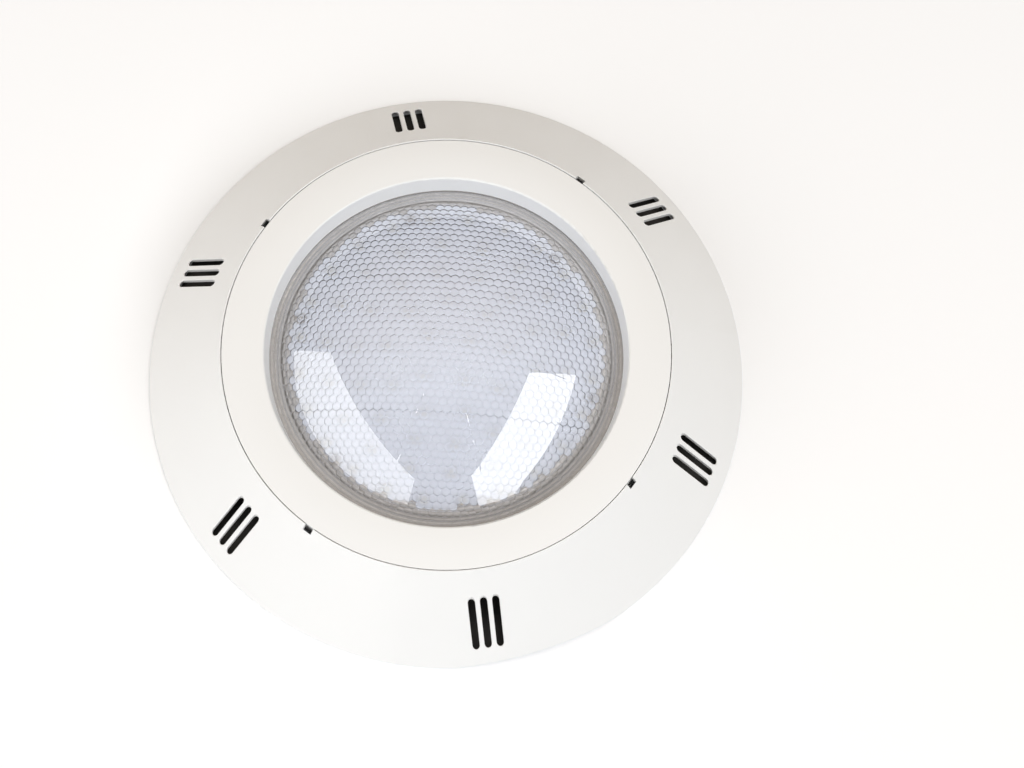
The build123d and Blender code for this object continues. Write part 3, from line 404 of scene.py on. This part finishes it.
DOME_RADIUS = 130.0 * MM
DOME_EDGE_RADIUS = 75.5 * MM
LENS_THICKNESS = 3.0 * MM
FOOT_ROUND = 6.0 * MM
CELL_PITCH = 4.15 * MM
CELL_RISE = 0.68 * MM
CELL_FLATNESS = 6
CELL_TURN = math.radians(-12)
CELL_LEVELS = (0.5, 0.75, 0.88, 1.0)
CELL_FADE = 0.3 * CELL_PITCH
CELL_STEPS = 12
CELL_STEP_DEGREES = 360 // CELL_STEPS
PATTERN_PAST_FLANK = 0.8 * MM
EDGE_TOLERANCE = 1e-6 * MM
DOME_RINGS = 22
FOOT_STEPS = 6
RIDGE_COUNT = 4
RIDGE_HEIGHT = 0.35 * MM
CLEAR_SLOT, PRISM_SLOT, RIM_SLOT = range(3)

lens_low, lens_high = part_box("lens")
flange_radius = lens_high.x
flange_bottom = lens_low.z
flange_top = flange_bottom + LENS_THICKNESS
dome_centre = lens_high.z - DOME_RADIUS
edge_angle = math.asin(DOME_EDGE_RADIUS / DOME_RADIUS)
inner_dome_radius = DOME_RADIUS - LENS_THICKNESS
dome_reach = inner_dome_radius * edge_angle
inner_foot = FOOT_ROUND + LENS_THICKNESS
inner_edge = Vector((
    inner_dome_radius * math.sin(edge_angle),
    dome_centre + inner_dome_radius * math.cos(edge_angle),
))
inner_flank_drop = inner_edge.y - flange_bottom - inner_foot * (1 - math.cos(edge_angle))
flank_reach = dome_reach + inner_flank_drop / math.sin(edge_angle)
pattern_reach = flank_reach + PATTERN_PAST_FLANK


def inner_surface(distance):
    """Radius, height and lean of the lens's inside at a distance from the crown along it."""
    if distance <= dome_reach:
        lean = distance / inner_dome_radius
        return inner_dome_radius * math.sin(lean), dome_centre + inner_dome_radius * math.cos(lean), lean
    if distance <= flank_reach:
        along = distance - dome_reach
        radius = inner_edge.x + along * math.cos(edge_angle)
        return radius, inner_edge.y - along * math.sin(edge_angle), edge_angle
    lean = edge_angle - (distance - flank_reach) / inner_foot
    foot_start = inner_edge.x + (flank_reach - dome_reach) * math.cos(edge_angle)
    radius = foot_start + inner_foot * (math.sin(edge_angle) - math.sin(lean))
    return radius, flange_bottom + inner_foot * (1 - math.cos(lean)), lean


def outer_flank_and_foot():
    """(radius, height) from the outer dome's edge down the flank and the foot."""
    edge = Vector((DOME_RADIUS * math.sin(edge_angle), dome_centre + DOME_RADIUS * math.cos(edge_angle)))
    drop = edge.y - flange_top - FOOT_ROUND * (1 - math.cos(edge_angle))
    foot_end = edge.x + drop / math.tan(edge_angle) + FOOT_ROUND * math.sin(edge_angle)
    points = [edge]
    for step in range(FOOT_STEPS + 1):
        turn = edge_angle * (1 - step / FOOT_STEPS)
        radius = foot_end - FOOT_ROUND * math.sin(turn)
        points.append(Vector((radius, flange_top + FOOT_ROUND * (1 - math.cos(turn)))))
    return points


def inner_rim():
    """(radius, height) from the pattern's edge to the flat of the flange, with fine ridges round the foot."""
    foot_end = flank_reach + inner_foot * edge_angle
    points = []
    for step in range(1, 2 * RIDGE_COUNT + 1):
        distance = pattern_reach + (foot_end - pattern_reach) * step / (2 * RIDGE_COUNT)
        radius, height, lean = inner_surface(distance)
        lift = RIDGE_HEIGHT if step % 2 else 0.0
        points.append(Vector((radius - lift * math.sin(lean), height - lift * math.cos(lean))))
    return points


def cell_centres():
    """Centres of the pointed-top hexagons that reach into the pattern."""
    row_step = CELL_PITCH * math.sqrt(3) / 2
    rows = int(pattern_reach / row_step) + 2
    columns = int(pattern_reach / CELL_PITCH) + 2
    for row in range(-rows, rows + 1):
        for column in range(-columns, columns + 1):
            centre = Vector(((column + 0.5 * (row % 2)) * CELL_PITCH, row * row_step))
            if centre.length < pattern_reach + CELL_PITCH:
                yield centre


def cell_faces(centre):
    """Flat faces of one hexagon in rings round its middle, as lists of (point, distance from the middle)."""
    corner_reach = CELL_PITCH / math.sqrt(3)
    side_reach = CELL_PITCH / 2
    rings = []
    for level in CELL_LEVELS:
        ring = []
        for step in range(CELL_STEPS):
            angle = math.radians(CELL_STEP_DEGREES * step)
            reach = level * (corner_reach if step % 2 else side_reach)
            ring.append((centre + Vector((math.cos(angle), math.sin(angle))) * reach, reach))
        rings.append(ring)
    middle = (centre, 0.0)
    for step in range(CELL_STEPS):
        after = (step + 1) % CELL_STEPS
        yield [middle, rings[0][step], rings[0][after]]
        for inner, outer in zip(rings, rings[1:]):
            yield [inner[step], outer[step], outer[after], inner[after]]


def crossing(first, second):
    """Where the line between two flat points leaves the pattern's circle."""
    if second[0].length < first[0].length:
        first, second = second, first
    start, end = first[0], second[0]
    along = end - start
    a = along.dot(along)
    b = 2 * start.dot(along)
    c = start.dot(start) - pattern_reach * pattern_reach
    share = (-b + math.sqrt(max(0.0, b * b - 4 * a * c))) / (2 * a)
    return (start + along * share, first[1] + (second[1] - first[1]) * share)


def clipped(face):
    """The part of a flat face inside the pattern's circle."""
    kept = []
    for point, after in zip(face, face[1:] + face[:1]):
        inside = point[0].length <= pattern_reach
        after_inside = after[0].length <= pattern_reach
        if inside:
            kept.append(point)
        if inside != after_inside:
            kept.append(crossing(point, after))
    return kept


def add_prisms(mesh):
    """Hexagonal pillows wrapped onto the lens's inside. Returns the vertices on their outer edge in order."""
    corner_reach = CELL_PITCH / math.sqrt(3)
    made = {}
    edge_vertices = {}

    def vertex(point):
        spot, from_middle = point
        key = (round(spot.x / MM, 4), round(spot.y / MM, 4))
        if key not in made:
            distance = spot.length
            fade = min(1.0, max(0.0, (pattern_reach - distance) / CELL_FADE))
            rise = CELL_RISE * (1 - (from_middle / corner_reach) ** CELL_FLATNESS) * fade
            radius, height, lean = inner_surface(distance)
            radius += rise * math.sin(lean)
            azimuth = math.atan2(spot.y, spot.x) + CELL_TURN
            made[key] = mesh.verts.new((
                math.cos(azimuth) * radius,
                math.sin(azimuth) * radius,
                height + rise * math.cos(lean),
            ))
            if distance > pattern_reach - EDGE_TOLERANCE:
                edge_vertices[made[key]] = azimuth
        return made[key]

    for centre in cell_centres():
        for face in cell_faces(centre):
            corners = []
            for point in clipped(face):
                corner = vertex(point)
                if corner not in corners:
                    corners.append(corner)
            if len(corners) > 2:
                made_face = mesh.faces.new(corners)
                on_dome = centre.length < dome_reach + CELL_PITCH / 4
                made_face.material_index = PRISM_SLOT if on_dome else RIM_SLOT
    return sorted(edge_vertices, key=lambda v: math.atan2(v.co.y, v.co.x))


def add_ring(mesh, loop, radius, height):
    """Ring of new vertices at the same azimuths as those of a loop."""
    ring = []
    for old in loop:
        azimuth = math.atan2(old.co.y, old.co.x)
        ring.append(mesh.verts.new((radius * math.cos(azimuth), radius * math.sin(azimuth), height)))
    return ring


def join_rings(mesh, first, second, material_slot):
    """Band of faces between two rings, with the second ring further along the surface."""
    for step in range(len(first)):
        after = (step + 1) % len(first)
        face = mesh.faces.new((first[step], first[after], second[after], second[step]))
        face.material_index = material_slot


def lens_bands():
    """(radius, height, sharp, material slot) of each ring from the pattern's edge to near the crown."""
    bands = [(point.x, point.y, False, RIM_SLOT) for point in inner_rim()]
    bands += [(flange_radius, flange_bottom, True, RIM_SLOT), (flange_radius, flange_top, True, CLEAR_SLOT)]
    bands += [(point.x, point.y, False, CLEAR_SLOT) for point in reversed(outer_flank_and_foot())]
    for step in range(DOME_RINGS - 1, 0, -1):
        tilt = edge_angle * step / DOME_RINGS
        height = dome_centre + DOME_RADIUS * math.cos(tilt)
        bands.append((DOME_RADIUS * math.sin(tilt), height, False, CLEAR_SLOT))
    return bands


def add_lens():
    """The whole lens: smooth dome outside, honeycomb of shallow pillows inside, flank, foot and flange."""
    mesh = bmesh.new()
    loop = add_prisms(mesh)
    last = loop
    for radius, height, sharp, material_slot in lens_bands():
        ring = add_ring(mesh, loop, radius, height)
        join_rings(mesh, last, ring, material_slot)
        if sharp:
            for step, vertex in enumerate(ring):
                mesh.edges.get((vertex, ring[(step + 1) % len(ring)])).smooth = False
        last = ring
    crown = mesh.verts.new((0, 0, dome_centre + DOME_RADIUS))
    for step in range(len(last)):
        mesh.faces.new((last[step], last[(step + 1) % len(last)], crown))
    for face in mesh.faces:
        face.smooth = True
    bmesh.ops.recalc_face_normals(mesh, faces=mesh.faces)
    data = bpy.data.meshes.new("lens_optic")
    mesh.to_mesh(data)
    mesh.free()
    lens = bpy.data.objects.new("lens_optic", data)
    bpy.context.scene.collection.objects.link(lens)
    for material in (clear_material(), prism_material(), rim_material()):
        data.materials.append(material)
    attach(lens, "lamp_unit")
    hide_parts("lens")


def light_passes(m, surface, tint):
    """Ends a material so that lamps and scattered light go straight through it, whatever the camera sees."""
    through = m.add("ShaderNodeBsdfTransparent", Color=tint)
    path = m.add("ShaderNodeLightPath")
    either = m.add("ShaderNodeMath", {"operation": "MAXIMUM"})
    m.link(path.outputs["Is Shadow Ray"], either.inputs[0])
    m.link(path.outputs["Is Diffuse Ray"], either.inputs[1])
    mix = m.add("ShaderNodeMixShader")
    m.link(either.outputs[0], mix.inputs[0])
    m.link(surface, mix.inputs[1])
    m.link(through.outputs[0], mix.inputs[2])
    m.link(mix.outputs[0], m.output.inputs["Surface"])


GLOSS_IOR = 1.7
PLASTIC_IOR = 1.49


def clear_material():
    """Clear polycarbonate: bends what lies behind it, under a bright mirror of the lights."""
    m = Maker("lens_clear")
    m.tree.nodes.remove(m.surface)
    fresnel = m.add("ShaderNodeFresnel", IOR=GLOSS_IOR)
    geometry = m.add("ShaderNodeNewGeometry")
    outside = m.add("ShaderNodeMath", {"operation": "SUBTRACT"})
    outside.inputs[0].default_value = 1.0
    m.link(geometry.outputs["Backfacing"], outside.inputs[1])
    mirrored = m.add("ShaderNodeMath", {"operation": "MULTIPLY"})
    m.link(fresnel.outputs["Fac"], mirrored.inputs[0])
    m.link(outside.outputs["Value"], mirrored.inputs[1])
    gloss = m.add("ShaderNodeBsdfGlossy", Color=(1, 1, 1, 1))
    m.link(m.ramp(m.noise(scale=50, detail=4), low=0.015, high=0.05), gloss.inputs["Roughness"])
    bend = m.add("ShaderNodeBsdfRefraction", Roughness=0.0, IOR=PLASTIC_IOR)
    tint = m.mix_colour(m.noise(scale=25), (0.96, 0.96, 0.98), (0.99, 0.99, 1.0))
    m.link(tint, bend.inputs["Color"])
    mix = m.add("ShaderNodeMixShader")
    m.link(mirrored.outputs["Value"], mix.inputs[0])
    m.link(bend.outputs[0], mix.inputs[1])
    m.link(gloss.outputs[0], mix.inputs[2])
    light_passes(m, mix.outputs[0], tint=(0.96, 0.96, 0.98, 1))
    return m.material


PRISM_HAZE = 0.30


def prism_material():
    """Prism face: partly scatters a cool white, and partly bends what lies behind it into speckles."""
    m = Maker("lens_prisms")
    cloud = m.mix_colour(m.noise(scale=60), (0.80, 0.83, 0.88), (0.75, 0.79, 0.85))
    m.link(cloud, m.surface.inputs["Base Color"])
    m.set(Roughness=0.12)
    bend = m.add("ShaderNodeBsdfRefraction", Color=(0.97, 0.98, 1, 1), Roughness=0.0, IOR=PLASTIC_IOR)
    haze = m.add("ShaderNodeMixShader", Fac=PRISM_HAZE)
    m.link(bend.outputs[0], haze.inputs[1])
    m.link(m.surface.outputs[0], haze.inputs[2])
    light_passes(m, haze.outputs[0], tint=(0.92, 0.94, 0.97, 1))
    return m.material


RIM_HAZE = 0.55
RIM_RING_SCALE = 150.0


def rim_material():
    """Moulded rim of the lens: cloudy, with painted shade. Its warm grey, coarsely speckled colour stands for
    the dim inside seen through it, and darker fine rings stand for the shade between its ridges.
    """
    m = Maker("lens_rim_painted_shade")
    wave = {"wave_type": "RINGS", "rings_direction": "Z"}
    rings = m.add("ShaderNodeTexWave", wave, Scale=RIM_RING_SCALE, Distortion=0.6, Detail=2.0)
    m.link(m.position(), rings.inputs["Vector"])
    # Painted shade: the grey base and the darker rings are colour that stands in for the dim inside and the
    # shade of the ridges; the speckle's spread is random tone.
    speckle_and_shade = m.mix_colour(m.ramp(m.noise(scale=420), 0, 1), (0.56, 0.525, 0.47), (0.36, 0.335, 0.30))
    painted_ring_shade = m.mix_colour(rings.outputs["Fac"], speckle_and_shade, (0.27, 0.25, 0.225))
    m.link(painted_ring_shade, m.surface.inputs["Base Color"])
    m.set(Roughness=0.2)
    m.bump(m.noise(scale=700, detail=2), distance=0.2 * MM)
    bend = m.add("ShaderNodeBsdfGlass", Color=(0.94, 0.92, 0.88, 1), Roughness=0.05, IOR=PLASTIC_IOR)
    haze = m.add("ShaderNodeMixShader", Fac=RIM_HAZE)
    m.link(bend.outputs[0], haze.inputs[1])
    m.link(m.surface.outputs[0], haze.inputs[2])
    light_passes(m, haze.outputs[0], tint=(0.9, 0.89, 0.87, 1))
    return m.material


# ---- the scene -------------------------------------------------------------------------------

add_camera()
for softbox, settings in SOFTBOXES.items():
    add_softbox(softbox, **settings)
add_world()
set_view_transform()
add_floor()
paint_plastics()
paint_rubbers()
paint_metals()
paint_boards()
add_lens()
